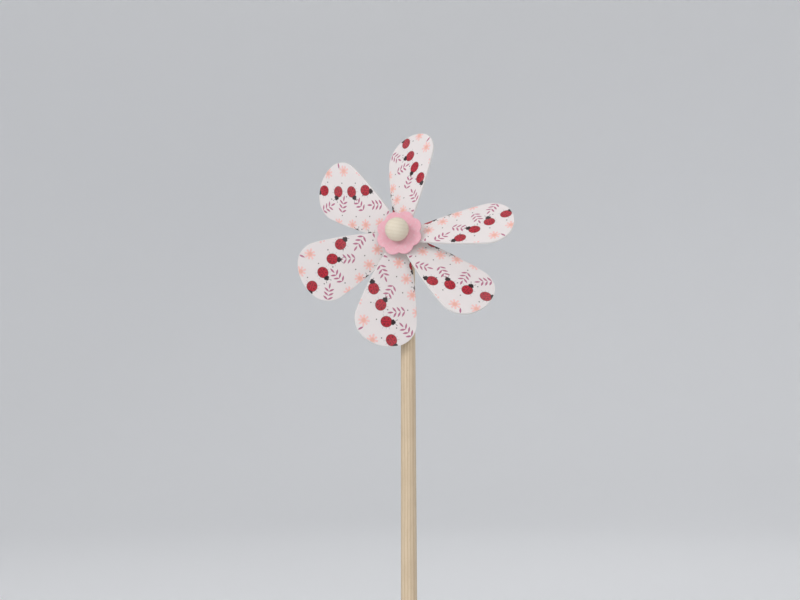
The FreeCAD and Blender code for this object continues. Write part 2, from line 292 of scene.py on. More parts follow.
def speckle(tree, vector, scale, detail=2.0, roughness=0.5, distortion=0.0):
    """Noise from 0 to 1."""
    node = add(tree, "ShaderNodeTexNoise")
    feed(tree, node.inputs["Vector"], vector)
    feed(tree, node.inputs["Scale"], scale)
    node.inputs["Detail"].default_value = detail
    node.inputs["Roughness"].default_value = roughness
    node.inputs["Distortion"].default_value = distortion
    return node.outputs["Fac"]


def blended(tree, factor, first, second):
    """Two colours mixed."""
    node = add(tree, "ShaderNodeMix", data_type="RGBA")
    feed(tree, node.inputs["Factor"], factor)
    for socket, value in ((node.inputs[6], first), (node.inputs[7], second)):
        feed(tree, socket, (*value, 1.0) if isinstance(value, (tuple, list)) else value)
    return node.outputs[2]


def touched(tree, mask, strength, colour, other):
    """A colour that goes part of the way to another one where the mask is."""
    return blended(tree, maths(tree, "MULTIPLY", mask, strength), colour, other)


def darkened(tree, dark, mask, strength):
    """A mask of dark ink with one more laid over it, at that one's own strength."""
    return maths(tree, "MAXIMUM", dark, maths(tree, "MULTIPLY", mask, strength))


def turned_place(tree, place, rotation):
    """A place turned, so that a pattern along Z runs another way."""
    node = add(tree, "ShaderNodeMapping")
    feed(tree, node.inputs["Vector"], place)
    node.inputs["Rotation"].default_value = rotation
    return node.outputs[0]


def seen_from(tree, point, centre, heading):
    """A point from a centre, with the heading as Y."""
    spin = add(tree, "ShaderNodeVectorRotate", rotation_type="Z_AXIS")
    feed(tree, spin.inputs["Vector"], vectors(tree, "SUBTRACT", point, centre))
    feed(tree, spin.inputs["Angle"], heading)
    return spin.outputs[0]


def new_group(name, takes, gives):
    """An empty shader group with these named inputs and outputs: its tree and its inputs."""
    tree = bpy.data.node_groups.new(name, "ShaderNodeTree")
    kinds = {"vector": "NodeSocketVector", "number": "NodeSocketFloat", "colour": "NodeSocketColor"}
    for label, kind, default in takes:
        socket = tree.interface.new_socket(name=label, in_out="INPUT", socket_type=kinds[kind])
        if default is not None:
            socket.default_value = default
    for label, kind in gives:
        tree.interface.new_socket(name=label, in_out="OUTPUT", socket_type=kinds[kind])
    entry = add(tree, "NodeGroupInput")
    return tree, entry.outputs


def give(tree, **results):
    """Link the results to the group's outputs, whose names have no spaces."""
    end = add(tree, "NodeGroupOutput")
    for label, result in results.items():
        feed(tree, end.inputs[label], result)
    return tree


def use(tree, group, **values):
    """Place a group in a tree, with its values, and return its outputs."""
    node = add(tree, "ShaderNodeGroup", node_tree=group)
    for label, value in values.items():
        feed(tree, node.inputs[label.replace("_", " ")], value)
    return node.outputs


def once(name, make):
    """A shader group by name, built the first time that it is asked for."""
    return bpy.data.node_groups.get(name) or make(name)


# ---- shader groups: wood, felt, sheet, metal, wear ---------------------------------------------


def wood_grain(name):
    """Growth rings, fibres and short pores along Z, from a place in metres."""
    tree, entry = new_group(
        name,
        [("Vector", "vector", None), ("Ring", "number", 1.6), ("Wander", "number", 2.0)],
        [("Tone", "number"), ("Pores", "number"), ("Height", "number")],
    )
    place = scaled(tree, entry["Vector"], 1 / MM)
    slow = vectors(tree, "MULTIPLY", place, (0.09, 0.09, 0.012))
    drift = maths(tree, "MULTIPLY", speckle(tree, slow, 1.0, 2.0), entry["Wander"])
    across, back, _ = parts_of(tree, vectors(tree, "ADD", place, (19.0, 7.0, 0.0)))
    radius = vectors(tree, "LENGTH", vector_of(tree, across, back, 0.0))
    turns = maths(tree, "DIVIDE", maths(tree, "ADD", radius, drift), entry["Ring"])
    saw = maths(tree, "FRACT", turns)
    late = maths(tree, "MULTIPLY", ramp(tree, saw, 0.25, 0.92), ramp(tree, saw, 0.94, 1.0, 1.0, 0.0))
    long_fibres = vectors(tree, "MULTIPLY", place, (1.7, 1.7, 0.045))
    fibre = speckle(tree, long_fibres, 1.0, 5.0, 0.62, 0.4)
    short_fibres = vectors(tree, "MULTIPLY", place, (7.5, 7.5, 0.33))
    fine = speckle(tree, short_fibres, 1.0, 3.0, 0.6)
    pore_place = vectors(tree, "MULTIPLY", place, (4.2, 4.2, 0.26))
    pores = ramp(tree, speckle(tree, pore_place, 1.0, 2.0), 0.63, 0.76)
    tone = maths(tree, "MULTIPLY_ADD", late, 0.34, maths(tree, "MULTIPLY", fibre, 0.62))
    tone = maths(tree, "MULTIPLY_ADD", fine, 0.22, tone)
    tone = ramp(tree, tone, 0.22, 0.98)
    height = maths(tree, "MULTIPLY_ADD", fine, 0.5, maths(tree, "MULTIPLY", fibre, 0.5))
    height = maths(tree, "MULTIPLY_ADD", pores, -0.6, height)
    return give(tree, Tone=tone, Pores=pores, Height=height)


def edge_wear(name):
    """A mask of the edges within Radius, broken up by noise."""
    tree, entry = new_group(
        name,
        [("Vector", "vector", None), ("Radius", "number", 0.0004), ("Breakup", "number", 900.0)],
        [("Mask", "number")],
    )
    rounded = add(tree, "ShaderNodeBevel", samples=4)
    feed(tree, rounded.inputs["Radius"], entry["Radius"])
    surface = add(tree, "ShaderNodeNewGeometry")
    facing = vectors(tree, "DOT_PRODUCT", rounded.outputs[0], surface.outputs["Normal"])
    edge = ramp(tree, facing, 0.995, 0.86)
    broken = ramp(tree, speckle(tree, entry["Vector"], entry["Breakup"], 3.0), 0.38, 0.62)
    return give(tree, Mask=maths(tree, "MULTIPLY", edge, broken, clamp=True))


def handling(name):
    """Large faint blotches and small specks, as on something that has been handled."""
    tree, entry = new_group(
        name,
        [("Vector", "vector", None), ("Blotch", "number", 90.0)],
        [("Blotches", "number"), ("Specks", "number")],
    )
    blotches = ramp(tree, speckle(tree, entry["Vector"], entry["Blotch"], 3.0), 0.35, 0.7)
    specks = ramp(tree, speckle(tree, entry["Vector"], 1400.0, 1.0), 0.70, 0.80)
    return give(tree, Blotches=blotches, Specks=specks)


def felt_fibre(name):
    """Matted fibres: their tone, a few bright loose ones, and their height."""
    tree, entry = new_group(
        name,
        [("Vector", "vector", None)],
        [("Tone", "number"), ("Loose", "number"), ("Height", "number")],
    )
    place = scaled(tree, entry["Vector"], 1 / MM)
    warp = add(tree, "ShaderNodeTexNoise")
    feed(tree, warp.inputs["Vector"], place)
    warp.inputs["Scale"].default_value = 0.9
    warp.inputs["Detail"].default_value = 2.0
    moved = vectors(tree, "ADD", place, scaled(tree, warp.outputs["Color"], 2.2))
    strands = []
    for stretch in ((9.0, 1.1, 1.1), (1.1, 1.1, 9.0), (5.0, 1.0, -5.0)):
        strand = speckle(tree, vectors(tree, "MULTIPLY", moved, stretch), 0.8, 2.0, 0.6)
        miss = maths(tree, "ABSOLUTE", maths(tree, "SUBTRACT", strand, 0.5))
        strands.append(ramp(tree, miss, 0.0, 0.06, 1.0, 0.0))
    mat = maths(tree, "MAXIMUM", maths(tree, "MAXIMUM", strands[0], strands[1]), strands[2])
    mottle = speckle(tree, place, 0.55, 4.0, 0.65)
    tone = maths(tree, "MULTIPLY_ADD", mat, 0.35, maths(tree, "MULTIPLY", mottle, 0.8))
    loose = maths(tree, "MULTIPLY", mat, ramp(tree, mottle, 0.5, 0.68))
    height = maths(tree, "MULTIPLY_ADD", mat, 0.6, mottle)
    return give(tree, Tone=tone, Loose=loose, Height=height)


def sheet_tooth(name):
    """The fine tooth of a stiff printed sheet: ink mottle, pulp flecks and height."""
    tree, entry = new_group(
        name,
        [("Vector", "vector", None)],
        [("Mottle", "number"), ("Flecks", "number"), ("Height", "number")],
    )
    place = scaled(tree, entry["Vector"], 1 / MM)
    mottle = speckle(tree, place, 2.6, 3.0, 0.6)
    fine = speckle(tree, place, 11.0, 2.0)
    pulp = vectors(tree, "MULTIPLY", place, (1.0, 1.0, 0.5))
    flecks = ramp(tree, speckle(tree, pulp, 5.0, 1.0), 0.68, 0.8)
    height = maths(tree, "MULTIPLY_ADD", fine, 0.6, mottle)
    return give(tree, Mottle=mottle, Flecks=flecks, Height=height)


def rolled_zinc(name):
    """Dull patches, fine scratches and height for zinc plating."""
    tree, entry = new_group(
        name,
        [("Vector", "vector", None)],
        [("Dull", "number"), ("Scratches", "number"), ("Height", "number")],
    )
    place = scaled(tree, entry["Vector"], 1 / MM)
    dull = ramp(tree, speckle(tree, place, 0.8, 4.0, 0.6), 0.38, 0.66)
    lines = speckle(tree, vectors(tree, "MULTIPLY", place, (14.0, 0.6, 2.0)), 1.0, 2.0)
    scratches = ramp(tree, lines, 0.62, 0.72)
    height = maths(tree, "MULTIPLY_ADD", scratches, -0.7, speckle(tree, place, 6.0, 2.0))
    return give(tree, Dull=dull, Scratches=scratches, Height=height)


# ---- shader groups: the printed picture --------------------------------------------------------


def nearest_motif(name):
    """Keeps the nearer motif: the one found so far, or one more. X and Y are in it, Z is how far."""
    tree, entry = new_group(
        name,
        [
            ("Point", "vector", None),
            ("Centre", "vector", None),
            ("Heading", "number", 0.0),
            ("Size", "number", 1.0),
            ("Best", "vector", FAR),
        ],
        [("Best", "vector")],
    )
    spun = seen_from(tree, entry["Point"], entry["Centre"], entry["Heading"])
    local = scaled(tree, spun, maths(tree, "DIVIDE", 1.0, entry["Size"]))
    away = vectors(tree, "LENGTH", local)
    right, ahead, _ = parts_of(tree, local)
    newer = vector_of(tree, right, ahead, away)
    _, _, best_away = parts_of(tree, entry["Best"])
    choose = add(tree, "ShaderNodeMix", data_type="VECTOR")
    feed(tree, choose.inputs[0], maths(tree, "LESS_THAN", away, best_away))
    feed(tree, choose.inputs[4], entry["Best"])
    feed(tree, choose.inputs[5], newer)
    return give(tree, Best=choose.outputs[1])


def line_along(tree, miss, width, soft):
    """1 on a thin line, from how far a point misses it."""
    return inside(tree, maths(tree, "ABSOLUTE", miss), width, soft)


def ladybird(name):
    """A ladybird seen from above, in units of its own half width, with its head towards Y."""
    tree, entry = new_group(
        name, [("Local", "vector", None)], [("Shell", "number"), ("Dark", "number"), ("Shade", "number")]
    )
    right, ahead, _ = parts_of(tree, entry["Local"])
    side = maths(tree, "ABSOLUTE", right)
    mirrored = vector_of(tree, side, ahead, 0.0)
    body = vectors(tree, "LENGTH", vectors(tree, "DIVIDE", mirrored, (0.97, 1.04, 1.0)))
    shell = inside(tree, body, 1.0, 0.09)
    rim = maths(tree, "MULTIPLY", shell, ramp(tree, body, 0.8, 0.97))
    dark = maths(tree, "MULTIPLY", rim, 0.42)
    for centre, shape in (((0.0, 1.18, 0.0), (0.5, 0.34, 1.0)), ((0.0, 1.48, 0.0), (0.24, 0.2, 1.0))):
        head_place = vectors(tree, "SUBTRACT", mirrored, centre)
        head = vectors(tree, "LENGTH", vectors(tree, "DIVIDE", head_place, shape))
        dark = maths(tree, "MAXIMUM", dark, inside(tree, head, 1.0, 0.22))
    collar = maths(tree, "MULTIPLY", ramp(tree, ahead, 0.80, 0.90), shell)
    dark = maths(tree, "MAXIMUM", dark, collar)
    seam = maths(tree, "MULTIPLY", inside(tree, side, 0.045, 0.06), shell)
    dark = darkened(tree, dark, seam, 0.75)
    for centre, radius in (((0.44, 0.3, 0.0), 0.15), ((0.46, -0.36, 0.0), 0.17)):
        spot = inside(tree, vectors(tree, "DISTANCE", mirrored, centre), radius, 0.1)
        dark = darkened(tree, dark, spot, 0.62)
    reach = inside(tree, side, 1.28, 0.1)
    beyond = maths(tree, "SUBTRACT", side, 0.9)
    for start, slope in ((0.5, 0.45), (0.0, 0.1), (-0.5, -0.45)):
        leg = maths(tree, "SUBTRACT", ahead, maths(tree, "MULTIPLY_ADD", beyond, slope, start))
        leg = maths(tree, "MULTIPLY", line_along(tree, leg, 0.025, 0.04), reach)
        dark = darkened(tree, dark, leg, 0.55)
    feeler_reach = maths(tree, "MULTIPLY", ramp(tree, ahead, 1.4, 1.5), inside(tree, ahead, 1.9, 0.1))
    feeler = maths(tree, "SUBTRACT", side, maths(tree, "MULTIPLY_ADD", ahead, 0.62, -0.72))
    feeler = maths(tree, "MULTIPLY", line_along(tree, feeler, 0.04, 0.05), feeler_reach)
    dark = darkened(tree, dark, feeler, 0.85)
    tip = inside(tree, vectors(tree, "DISTANCE", mirrored, (0.47, 1.93, 0.0)), 0.075, 0.06)
    dark = darkened(tree, dark, tip, 0.85)
    glow = vectors(tree, "DISTANCE", entry["Local"], (-0.3, 0.25, 0.0))
    return give(tree, Shell=shell, Dark=dark, Shade=ramp(tree, glow, 0.1, 1.3))


def daisy(name):
    """A daisy of thin rays round a heart, in units of its own radius."""
    tree, entry = new_group(name, [("Local", "vector", None)], [("Rays", "number"), ("Heart", "number")])
    right, ahead, away = parts_of(tree, entry["Local"])
    angle = maths(tree, "ARCTAN2", ahead, right)
    wave = maths(tree, "COSINE", maths(tree, "MULTIPLY", angle, 8.0))
    long_short = maths(tree, "COSINE", maths(tree, "MULTIPLY", angle, 5.0))
    reach = maths(tree, "MULTIPLY_ADD", long_short, 0.06, 0.92)
    level = maths(tree, "MULTIPLY_ADD", wave, 0.5, 0.5)
    need = maths(tree, "MULTIPLY_ADD", away, 1.1, -0.5)
    rays = ramp(tree, maths(tree, "SUBTRACT", level, need), -0.05, 0.18)
    past = maths(tree, "SUBTRACT", away, reach)
    rays = maths(tree, "MULTIPLY", rays, ramp(tree, past, -0.05, 0.06, 1.0, 0.0))
    heart = maths(tree, "MULTIPLY", inside(tree, away, 0.36, 0.3), 0.75)
    return give(tree, Rays=rays, Heart=heart)


def leaf(name):
    """One pointed oval leaf, across its heading, added to the leaves so far."""
    tree, entry = new_group(
        name,
        [
            ("Point", "vector", None),
            ("Centre", "vector", None),
            ("Heading", "number", 0.0),
            ("Leaves", "number", 0.0),
        ],
        [("Leaves", "number")],
    )
    spun = seen_from(tree, entry["Point"], entry["Centre"], entry["Heading"])
    along, across, _ = parts_of(tree, spun)
    share = maths(tree, "DIVIDE", along, 2.15)
    fullness = maths(tree, "SUBTRACT", 1.0, maths(tree, "MULTIPLY", share, share))
    miss = maths(tree, "ABSOLUTE", across)
    gap = maths(tree, "SUBTRACT", miss, maths(tree, "MULTIPLY", fullness, 0.62))
    mask = ramp(tree, gap, -0.08, 0.14, 1.0, 0.0)
    return give(tree, Leaves=maths(tree, "MAXIMUM", entry["Leaves"], mask))


def sprig(name):
    """The leaves of one sprig, from a place in millimetres from its middle."""
    tree, entry = new_group(name, [("Local", "vector", None)], [("Leaves", "number")])
    flat = vectors(tree, "MULTIPLY", entry["Local"], (1.0, 1.0, 0.0))
    leaves = 0.0
    for centre, heading in SPRIG_LEAVES:
        leaves = use(
            tree, once("Leaf", leaf), Point=flat, Centre=(*centre, 0.0),
            Heading=radians(heading), Leaves=leaves,
        )[0]
    return give(tree, Leaves=leaves)


def nearest_of(tree, point, motifs, size):
    """Where a point lies in the nearest of these motifs."""
    best = FAR
    for centre, heading in motifs:
        best = use(
            tree, once("Nearest motif", nearest_motif), Point=point, Centre=(*centre, 0.0),
            Heading=radians(heading), Size=size, Best=best,
        )[0]
    return best


def picture(name):
    """The whole printed picture, from a place on the blade in millimetres, over a sheet colour."""
    tree, entry = new_group(
        name,
        [
            ("Point", "vector", None),
            ("Sheet", "colour", (1, 1, 1, 1)),
            ("Leaf", "colour", (1, 1, 1, 1)),
            ("Ray", "colour", (1, 1, 1, 1)),
            ("Heart", "colour", (1, 1, 1, 1)),
            ("Shell", "colour", (1, 1, 1, 1)),
            ("Dark", "colour", (1, 1, 1, 1)),
            ("Fade", "number", 1.0),
        ],
        [("Colour", "colour"), ("Ink", "number")],
    )
    point = entry["Point"]
    fade = entry["Fade"]
    local = nearest_of(tree, point, SPRIGS, SPRIG_SIZE)
    leaves = use(tree, once("Sprig", sprig), Local=local)[0]
    leaves = maths(tree, "MULTIPLY", leaves, fade)
    colour = blended(tree, leaves, entry["Sheet"], entry["Leaf"])
    ink = leaves
    flower = use(tree, once("Daisy", daisy), Local=nearest_of(tree, point, DAISIES, DAISY_SIZE))
    rays = maths(tree, "MULTIPLY", flower[0], fade)
    colour = blended(tree, rays, colour, entry["Ray"])
    colour = blended(tree, flower[1], colour, entry["Heart"])
    ink = maths(tree, "MAXIMUM", ink, rays)
    beetle = use(tree, once("Ladybird", ladybird), Local=nearest_of(tree, point, LADYBIRDS, LADYBIRD_SIZE))
    deep = touched(tree, beetle[2], 0.22, entry["Shell"], entry["Dark"])
    colour = blended(tree, beetle[0], colour, deep)
    colour = touched(tree, beetle[1], fade, colour, entry["Dark"])
    ink = maths(tree, "MAXIMUM", ink, maths(tree, "MAXIMUM", beetle[0], beetle[1]))
    nearest = FAR[2]
    for centre in DOTS:
        nearest = maths(tree, "MINIMUM", nearest, vectors(tree, "DISTANCE", point, (*centre, 0.0)))
    dots = maths(tree, "MULTIPLY", inside(tree, nearest, 0.45, 0.3), 0.85)
    colour = blended(tree, dots, colour, entry["Dark"])
    return give(tree, Colour=colour, Ink=maths(tree, "MAXIMUM", ink, dots))


# ---- materials ---------------------------------------------------------------------------------


def new_material(name):
    """A new material with a cleared node tree and a place on the object; its surface shader comes later.
    """
    material = bpy.data.materials.new(name)
    material.use_nodes = True
    tree = material.node_tree
    tree.nodes.clear()
    place = add(tree, "ShaderNodeTexCoord").outputs["Object"]
    return material, tree, place


def surface(tree, colour, roughness, height, depth, metallic=0.0, specular=0.5, sheen=0.0):
    """The material's surface shader, with a bump depth in metres."""
    bump = add(tree, "ShaderNodeBump")
    bump.inputs["Strength"].default_value = 1.0
    bump.inputs["Distance"].default_value = depth
    feed(tree, bump.inputs["Height"], height)
    shader = add(tree, "ShaderNodeBsdfPrincipled")
    feed(tree, shader.inputs["Base Color"], colour)
    feed(tree, shader.inputs["Roughness"], roughness)
    feed(tree, shader.inputs["Normal"], bump.outputs["Normal"])
    shader.inputs["Metallic"].default_value = metallic
    shader.inputs["Specular IOR Level"].default_value = specular
    shader.inputs["Sheen Weight"].default_value = sheen
    shader.inputs["Sheen Roughness"].default_value = 0.5
    end = add(tree, "ShaderNodeOutputMaterial")
    tree.links.new(shader.outputs[0], end.inputs["Surface"])


def wood(name, light, dark, ring, rotation=(0, 0, 0), wear_radius=0.5 * MM):
    """Bare sanded wood, with its grain along Z, or along the axis that the rotation turns to Z."""
    material, tree, place = new_material(name)
    turned = turned_place(tree, place, rotation)
    grain = use(tree, once("Wood grain", wood_grain), Vector=turned, Ring=ring)
    marks = use(tree, once("Handling marks", handling), Vector=place, Blotch=70.0)
    worn = use(tree, once("Edge wear", edge_wear), Vector=place, Radius=wear_radius)
    colour = blended(tree, grain["Tone"], tuple(light), tuple(dark))
    darker = tuple(channel * 0.55 for channel in dark)
    colour = touched(tree, grain["Pores"], 0.45, colour, darker)
    soiled = tuple(channel * 0.82 for channel in dark)
    colour = touched(tree, marks["Blotches"], 0.16, colour, soiled)
    colour = touched(tree, marks["Specks"], 0.25, colour, darker)
    colour = touched(tree, worn[0], 0.4, colour, soiled)
    gloss = maths(tree, "MULTIPLY_ADD", grain["Tone"], -0.12, 0.64)
    gloss = maths(tree, "MULTIPLY_ADD", marks["Blotches"], -0.06, gloss)
    surface(tree, colour, gloss, grain["Height"], 0.12 * MM, specular=0.35)
    return material


def printed_sheet(look):
    """The blades' printed front."""
    material, tree, place = new_material("Printed sheet")
    tooth = use(tree, once("Sheet tooth", sheet_tooth), Vector=place)
    marks = use(tree, once("Handling marks", handling), Vector=place, Blotch=45.0)
    spot = add(tree, "ShaderNodeUVMap", uv_map="print")
    point = add(tree, "ShaderNodeVectorMath", operation="MULTIPLY_ADD")
    feed(tree, point.inputs[0], spot.outputs[0])
    point.inputs[1].default_value = (PRINT_SPAN, PRINT_SPAN, 0.0)
    point.inputs[2].default_value = (-PRINT_SPAN / 2, 0.0, 0.0)
    paper = touched(tree, tooth["Mottle"], 0.5, tuple(look.sheet), tuple(look.core))
    art = use(
        tree, once("Printed picture", picture), Point=point.outputs[0], Sheet=paper,
        Leaf=(*look.leaf, 1), Ray=(*look.ray, 1), Heart=(*look.heart, 1), Shell=(*look.shell, 1),
        Dark=(*look.dark, 1), Fade=ramp(tree, tooth["Mottle"], 0.1, 0.4, 0.8, 1.0),
    )
    colour = touched(tree, tooth["Flecks"], 0.10, art["Colour"], tuple(look.core))
    grey = tuple(channel * 0.8 for channel in look.core)
    colour = touched(tree, marks["Blotches"], 0.07, colour, grey)
    gloss = maths(tree, "MULTIPLY_ADD", art["Ink"], -0.12, 0.56)
    gloss = maths(tree, "MULTIPLY_ADD", tooth["Mottle"], 0.08, gloss)
    surface(tree, colour, gloss, tooth["Height"], 0.03 * MM, specular=0.3)
    return material


def plain_sheet(look):
    """The blades' back and cut edges."""
    material, tree, place = new_material("Plain sheet")
    tooth = use(tree, once("Sheet tooth", sheet_tooth), Vector=place)
    marks = use(tree, once("Handling marks", handling), Vector=place, Blotch=45.0)
    worn = use(tree, once("Edge wear", edge_wear), Vector=place, Radius=0.4 * MM)
    grey = tuple(channel * 0.72 for channel in look.core)
    colour = touched(tree, tooth["Mottle"], 0.35, tuple(look.core), tuple(look.sheet))
    dirt = [(marks["Blotches"], 0.12), (tooth["Flecks"], 0.25), (marks["Specks"], 0.3), (worn[0], 0.35)]
    for mask, strength in dirt:
        colour = touched(tree, mask, strength, colour, grey)
    gloss = maths(tree, "MULTIPLY_ADD", tooth["Mottle"], 0.12, 0.58)
    surface(tree, colour, gloss, tooth["Height"], 0.06 * MM, specular=0.3)
    return material


def felt(look):
    """The flower's felt."""
    material, tree, place = new_material("Pink felt")
    fibre = use(tree, once("Felt fibre", felt_fibre), Vector=place)
    marks = use(tree, once("Handling marks", handling), Vector=place, Blotch=160.0)
    worn = use(tree, once("Edge wear", edge_wear), Vector=place, Radius=0.8 * MM)
    deep = tuple(channel * factor for channel, factor in zip(look.felt, (1.0, 0.84, 0.89)))
    colour = blended(tree, ramp(tree, fibre["Tone"], 0.25, 0.85), deep, tuple(look.felt))
    colour = touched(tree, fibre["Loose"], 0.55, colour, tuple(look.felt_light))
    colour = touched(tree, worn[0], 0.5, colour, tuple(look.felt_light))
    colour = touched(tree, marks["Blotches"], 0.12, colour, deep)
    surface(tree, colour, 0.95, fibre["Height"], 0.12 * MM, specular=0.12, sheen=0.15)
    return material


def zinc(name, look, rotation=(0, 0, 0)):
    """Zinc-plated steel."""
    material, tree, place = new_material(name)
    turned = turned_place(tree, place, rotation)
    plating = use(tree, once("Rolled zinc", rolled_zinc), Vector=turned)
    worn = use(tree, once("Edge wear", edge_wear), Vector=place, Radius=0.25 * MM, Breakup=2500.0)
    marks = use(tree, once("Handling marks", handling), Vector=place, Blotch=300.0)
    bright = tuple(min(1.0, channel * 1.25) for channel in look.zinc)
    colour = blended(tree, plating["Dull"], tuple(look.zinc), tuple(look.zinc_dark))
    colour = touched(tree, worn[0], 0.6, colour, bright)
    colour = touched(tree, marks["Specks"], 0.3, colour, tuple(look.zinc_dark))
    gloss = maths(tree, "MULTIPLY_ADD", plating["Dull"], 0.2, 0.26)
    gloss = maths(tree, "MULTIPLY_ADD", plating["Scratches"], 0.14, gloss)
    surface(tree, colour, gloss, plating["Height"], 0.02 * MM, metallic=1.0)
    return material


def backdrop(look):
    """Pale paper for the floor and the backdrop."""
    material, tree, place = new_material("Backdrop paper")
    tooth = use(tree, once("Sheet tooth", sheet_tooth), Vector=place)
    lighter = tuple(min(1.0, channel * 1.04) for channel in look.paper)
    colour = blended(tree, tooth["Mottle"], tuple(look.paper), lighter)
    surface(tree, colour, 0.95, tooth["Height"], 0.03 * MM, specular=0.1)
    return material


# ---- meshes ------------------------------------------------------------------------------------


def piece_from(bm, name, materials, node):
    """Finish a bmesh as a piece on the wheel that stands for a CAD node."""
    mesh = bpy.data.meshes.new(name)
    bm.to_mesh(mesh)
    bm.free()
    for material in materials:
        mesh.materials.append(material)
    piece = bpy.data.objects.new(name, mesh)
    bpy.context.scene.collection.objects.link(piece)
    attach(piece, "wheel")
    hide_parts(node)
    return piece


def merged_copy(node):
    """A CAD node's mesh as a bmesh with its triangles merged into faces."""
    bm = bmesh.new()
    bm.from_mesh(frame["nodes"][node].data)
    bmesh.ops.remove_doubles(bm, verts=bm.verts, dist=1e-6)
    bmesh.ops.dissolve_limit(bm, angle_limit=radians(0.2), verts=bm.verts, edges=bm.edges)
    bm.normal_update()
    return bm


def round_rims(bm, normal, offset, segments):
    """Round the edges between the faces along a normal and the walls between them."""
    rims = []
    for edge in bm.edges:
        slopes = sorted(abs(face.normal.dot(normal)) for face in edge.link_faces)
        if len(slopes) == 2 and slopes[0] < RIM_WALL and slopes[1] > RIM_FLAT:
            rims.append(edge)
    bmesh.ops.bevel(
        bm, geom=rims, offset=offset, offset_type="OFFSET", affect="EDGES", segments=segments,
        profile=0.5, material=-1, clamp_overlap=True,
    )
    bm.normal_update()


def smooth_rims_only(bm, normal):
    """Shade the walls and rims smooth, and keep the two flat faces flat."""
    for face in bm.faces:
        face.smooth = abs(face.normal.dot(normal)) < FLAT
    for edge in bm.edges:
        flats = [abs(face.normal.dot(normal)) > FLAT for face in edge.link_faces]
        edge.smooth = not any(flats)


def repaint(node, material):
    """Give a CAD node its finish."""
    frame["nodes"][node].material_slots[0].material = material


# ---- operators ---------------------------------------------------------------------------------


class WHIRLIGIG_OT_stick(bpy.types.Operator):
    """Give the stick its bare dowel wood"""

    bl_idname = "whirligig.stick"
    bl_label = "Stick"

    def execute(self, context):
        look = context.scene.whirligig_wood
        repaint("stick", wood("Dowel wood", look.dowel, look.dowel_dark, 1.9))
        return {"FINISHED"}


class WHIRLIGIG_OT_turned_wood(bpy.types.Operator):
    """Give the ball, the hub and the bead their turned wood, each with its grain its own way"""

    bl_idname = "whirligig.turned_wood"
    bl_label = "Ball, hub and bead"

    def execute(self, context):
        look = context.scene.whirligig_wood
        ball_turn = (radians(62), radians(28), 0)
        hub_turn = (radians(90), 0, radians(20))
        bead_turn = (radians(90), radians(40), 0)
        repaint("ball_cap", wood("Ball wood", look.ball, look.ball_dark, 2.3, ball_turn, 0.8 * MM))
        repaint("hub", wood("Hub wood", look.hub, look.hub_dark, 1.5, hub_turn))
        repaint("spacer_bead", wood("Bead wood", look.hub, look.hub_dark, 1.2, bead_turn))
        return {"FINISHED"}


class WHIRLIGIG_OT_metal(bpy.types.Operator):
    """Give the nail and the washers their zinc plating"""

    bl_idname = "whirligig.metal"
    bl_label = "Nail and washers"

    def execute(self, context):
        look = context.scene.whirligig_trim
        repaint("axle_nail", zinc("Nail zinc", look))
        washers = zinc("Washer zinc", look, (0, radians(35), 0))
        repaint("rear_washer", washers)
        repaint("front_washer", washers)
        return {"FINISHED"}


class WHIRLIGIG_OT_blades(bpy.types.Operator):
    """Make the six stiff sheet blades, printed on the front and plain on the back"""

    bl_idname = "whirligig.blades"
    bl_label = "Blades"

    def execute(self, context):
        look = context.scene.whirligig_print
        materials = [printed_sheet(look), plain_sheet(look)]
        for node in BLADES:
            bm = merged_copy(node)
            flats = sorted(bm.faces, key=lambda face: face.calc_area())[-2:]
            front = max(flats, key=lambda face: face.normal.dot(FORWARD))
            normal = front.normal.copy()
            outward = normal.cross(FORWARD).normalized()
            if outward.dot(front.calc_center_median() - HUB_POINT) < 0:
                outward.negate()
            clockwise = outward.cross(normal)
            round_rims(bm, normal, look.rim, 2)
            spots = bm.loops.layers.uv.new("print")
            for face in bm.faces:
                face.material_index = 0 if face.normal.dot(normal) > NEARLY_FLAT else 1
                for loop in face.loops:
                    offset = (loop.vert.co - HUB_POINT) / (MM * PRINT_SPAN)
                    loop[spots].uv = (offset.dot(clockwise) + 0.5, offset.dot(outward))
            smooth_rims_only(bm, normal)
            name = node.replace("blade", "printed_blade")
            piece_from(bm, name, materials, node)
        return {"FINISHED"}


class WHIRLIGIG_OT_flower(bpy.types.Operator):
    """Make the pink felt flower, with soft rims and slightly curled petals"""

    bl_idname = "whirligig.flower"
    bl_label = "Felt flower"

    def execute(self, context):
        look = context.scene.whirligig_trim
        bm = merged_copy("flower_disc")
        low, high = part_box("flower_disc")
        cut = bm.calc_volume() / (high.y - low.y)
        round_rims(bm, FORWARD, look.felt_rim, 3)
        for axis, along in ((Vector((1, 0, 0)), 0), (Vector((0, 0, 1)), 2)):
            line = low[along] + FELT_STEP
            while line < high[along] - FELT_STEP / 2:
                geom = bm.verts[:] + bm.edges[:] + bm.faces[:]
                bmesh.ops.bisect_plane(bm, geom=geom, dist=1e-7, plane_co=axis * line, plane_no=axis)
                line += FELT_STEP
        middle = Vector((0, 0, AXLE_HEIGHT))
        reach = (high.x - low.x) / 2
        for vert in bm.verts:
            offset = vert.co - middle
            offset.y = 0
            share = min(1.0, offset.length / reach)
            wave = 0.5 + 0.5 * noise.noise(offset * FELT_WAVES)
            vert.co += FORWARD * look.felt_curl * wave * share ** 2
        for face in bm.faces:
            face.smooth = True
        bmesh.ops.recalc_face_normals(bm, faces=bm.faces)
        flower = piece_from(bm, "felt_flower", [felt(look)], "flower_disc")
        return {"FINISHED"}


